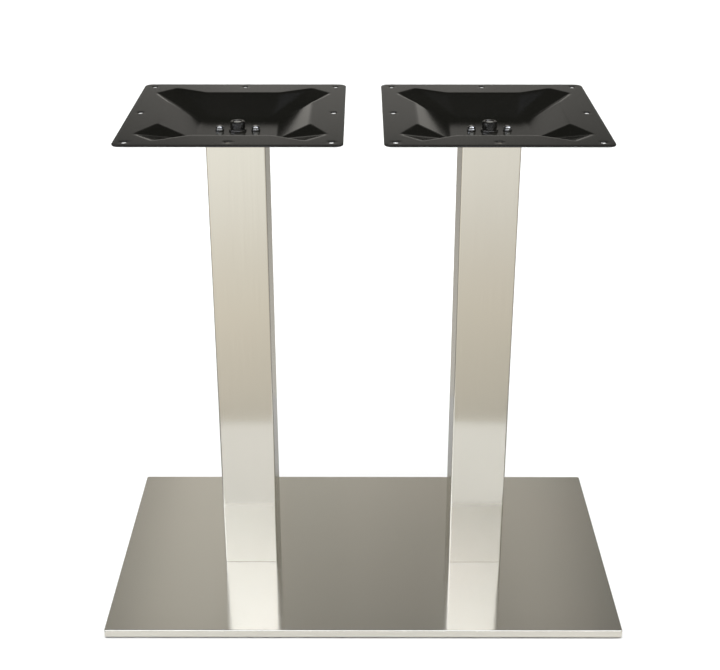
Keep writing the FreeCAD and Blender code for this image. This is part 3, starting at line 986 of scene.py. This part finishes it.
def panel_shade(f):
    """Dims upwards; bright bands fan out from below, on either side of the columns."""
    place = f.split(f.place)
    fan = f.arithmetic("DIVIDE", place["X"], f.arithmetic("ADD", place["Z"], FAN_DEPTH))
    wide = f.arithmetic("MULTIPLY", fan, FAN_WIDTH)
    sides = f.blend(f.spread(place["Z"], 0.0, 1.0, *PANEL_FOOT),
                    f.ramp_over(wide, PANEL_FOOT_SIDES), f.ramp_over(wide, PANEL_SIDES))
    level = f.ramp_over(place["Z"], PANEL_LEVEL, PANEL_TINT)
    return f.vector_math("MULTIPLY", level, sides).outputs["Vector"]


def far_card_shade(f):
    place = f.split(f.place)
    sides = f.ramp_over(place["X"], FAR_CARD_SIDES)
    level = f.ramp_over(place["Z"], FAR_CARD, PANEL_TINT)
    return f.vector_math("MULTIPLY", level, sides).outputs["Vector"]


def reflection_cards():
    """The studio round the white table, seen only in the steel's reflections."""
    wide, side = CARD_REACH, TABLE_SIDE
    for name, shade, (left, right), (front, back) in (
            ("front_card", front_card_shade, (-wide, wide), (-wide, TABLE_EDGE)),
            ("back_card", back_card_shade, (-wide, wide), (TABLE_BACK, PANEL_AT)),
            ("left_card", side_card_shade, (-wide, -side), (TABLE_EDGE, TABLE_BACK)),
            ("right_card", side_card_shade, (side, wide), (TABLE_EDGE, TABLE_BACK))):
        corners = [(x, y, CARD_HEIGHT)
                   for x, y in ((left, front), (right, front), (right, back), (left, back))]
        seen_only_in_reflections(stage_plane(name, corners, glowing(name, shade)))
    reach = PANEL_REACH
    for name, shade, y, low, high in (
            ("back_panel", panel_shade, PANEL_AT, 0.0, PANEL_HEIGHT),
            ("far_card", far_card_shade, FAR_CARD_AT, FAR_CARD[0][0], FAR_CARD[-1][0])):
        corners = [(-reach, y, low), (reach, y, low), (reach, y, high), (-reach, y, high)]
        seen_only_in_reflections(stage_plane(name, corners, glowing(name, shade)))


def white_backdrop():
    """A white tent far round the set, which only the camera sees."""
    reach, top = 39.0, 30.0
    points = [(x, y, z) for z in (-0.5, top) for x, y in
              ((-reach, -reach), (reach, -reach), (reach, reach), (-reach, reach))]
    faces = [(4, 5, 6, 7)] + [(k, (k + 1) % 4, (k + 1) % 4 + 4, k + 4) for k in range(4)]
    mesh = bpy.data.meshes.new("backdrop")
    mesh.from_pydata(points, [], faces)
    mesh.materials.append(glowing("backdrop", lambda f: color(1.0, 1.0, 1.0), strength=1.1))
    tent = bpy.data.objects.new("backdrop", mesh)
    bpy.context.scene.collection.objects.link(tent)
    tent.visible_diffuse = False
    tent.visible_glossy = False
    tent.visible_shadow = False


# What the steel mirrors from the rest of the studio, by the sine of the height angle: the
# brightness behind the object, and the brightness and share of blue in front of it.
BACK_WALL = ((0.0, 0.60), (0.26, 0.45), (0.33, 0.10), (0.38, 0.02), (1.0, 0.02))
FRONT_BANK = ((0.0, 0.75, 0.9), (0.08, 0.85, 0.9), (0.2, 0.95, 0.9), (0.32, 1.05, 0.9),
              (0.39, 0.6, 0.9), (0.45, 0.15, 0.9), (0.54, 0.02, 0.9), (0.5575, 0.05, 0.85),
              (0.5665, 0.25, 0.85), (0.5735, 0.6, 0.85), (0.5825, 1.15, 0.85), (0.59, 1.7, 0.85),
              (0.60, 2.6, 0.88), (0.608, 3.3, 0.92), (0.615, 4.0, 0.98), (0.625, 4.6, 1.05),
              (0.636, 5.0, 1.13), (0.648, 5.5, 1.21), (0.70, 5.4, 1.26), (0.78, 3.8, 1.2),
              (0.85, 1.3, 1.1), (0.92, 1.2, 1.05), (1.0, 1.1, 1.05))
BANK_TILT = 0.3                  # the bank hangs lower on the left
BANK_BLEND = (0.18, 0.04)        # the bank takes over from the wall as a direction's y falls
GREEN_DIVISOR = 5                # green shifts by blue's shift divided by this


def studio_world():
    """What the polished parts reflect: a dim wall behind, a bright bank of light in front."""
    world = bpy.data.worlds.new("studio")
    bpy.context.scene.world = world
    world.use_nodes = True
    nodes, links = world.node_tree.nodes, world.node_tree.links
    direction = nodes.new("ShaderNodeTexCoord").outputs["Generated"]
    parts = nodes.new("ShaderNodeSeparateXYZ")
    links.new(direction, parts.inputs["Vector"])

    def ranged(value, low, high):
        made = nodes.new("ShaderNodeMapRange")
        made.inputs["From Min"].default_value = low
        made.inputs["From Max"].default_value = high
        links.new(value, made.inputs["Value"])
        return made.outputs["Result"]

    def ramped(value, stops):
        ramp = nodes.new("ShaderNodeValToRGB")
        links.new(value, ramp.inputs["Fac"])
        fill_ramp(ramp.color_ramp, stops)
        return ramp.outputs["Color"]

    def scaled_sum(first, second, scale):
        made = nodes.new("ShaderNodeMath")
        made.operation = "MULTIPLY_ADD"
        links.new(second, made.inputs[0])
        made.inputs[1].default_value = scale
        links.new(first, made.inputs[2])
        return made.outputs["Value"]

    back = [(at, tuple(level * t for t in PANEL_TINT)) for at, level in BACK_WALL]
    front = [(at, (level, level * (1 + (blue - 1) / GREEN_DIVISOR), level * blue))
             for at, level, blue in FRONT_BANK]
    tilted = scaled_sum(parts.outputs["Z"], parts.outputs["X"], -BANK_TILT)
    mix = nodes.new("ShaderNodeMix")
    mix.data_type = "RGBA"
    links.new(ranged(parts.outputs["Y"], *BANK_BLEND), mix.inputs["Factor"])
    links.new(ramped(parts.outputs["Z"], back), mix.inputs["A"])
    links.new(ramped(tilted, front), mix.inputs["B"])
    links.new(mix.outputs["Result"], nodes["Background"].inputs["Color"])
    world.cycles_visibility.diffuse = False


# Name, strength, lean towards the front, turn to the side and angular size, in degrees.
SUNS = (("high", 3.6, 0, 0, 80), ("left", 0.6, 38, -35, 60), ("right", 0.4, 38, 35, 60))


def soft_suns():
    """Very soft light for everything that isn't polished: one high, one from each front side."""
    for name, energy, lean, turn, angle in SUNS:
        data = bpy.data.lights.new(name, "SUN")
        data.energy = energy
        data.angle = math.radians(angle)
        sun = bpy.data.objects.new(name, data)
        sun.rotation_euler = (math.radians(lean), 0.0, math.radians(turn))
        sun.visible_glossy = False
        bpy.context.scene.collection.objects.link(sun)


def camera():
    """A long lens set high in front, with a little downward shift for the framing."""
    looks_down, looks_left = 22.72, 0.1
    data = bpy.data.cameras.new("camera")
    data.sensor_width = 36.0
    data.lens = 63.45
    data.shift_y = -0.115
    data.clip_start = 0.05
    data.clip_end = 200.0
    viewer = bpy.data.objects.new("camera", data)
    viewer.location = (-0.002, -1.660, 1.210)
    viewer.rotation_euler = (math.radians(90 - looks_down), 0.0, math.radians(looks_left))
    bpy.context.scene.collection.objects.link(viewer)
    bpy.context.scene.camera = viewer


pale_floor()
reflection_cards()
white_backdrop()
studio_world()
soft_suns()
camera()
bpy.context.scene.view_settings.view_transform = "Standard"
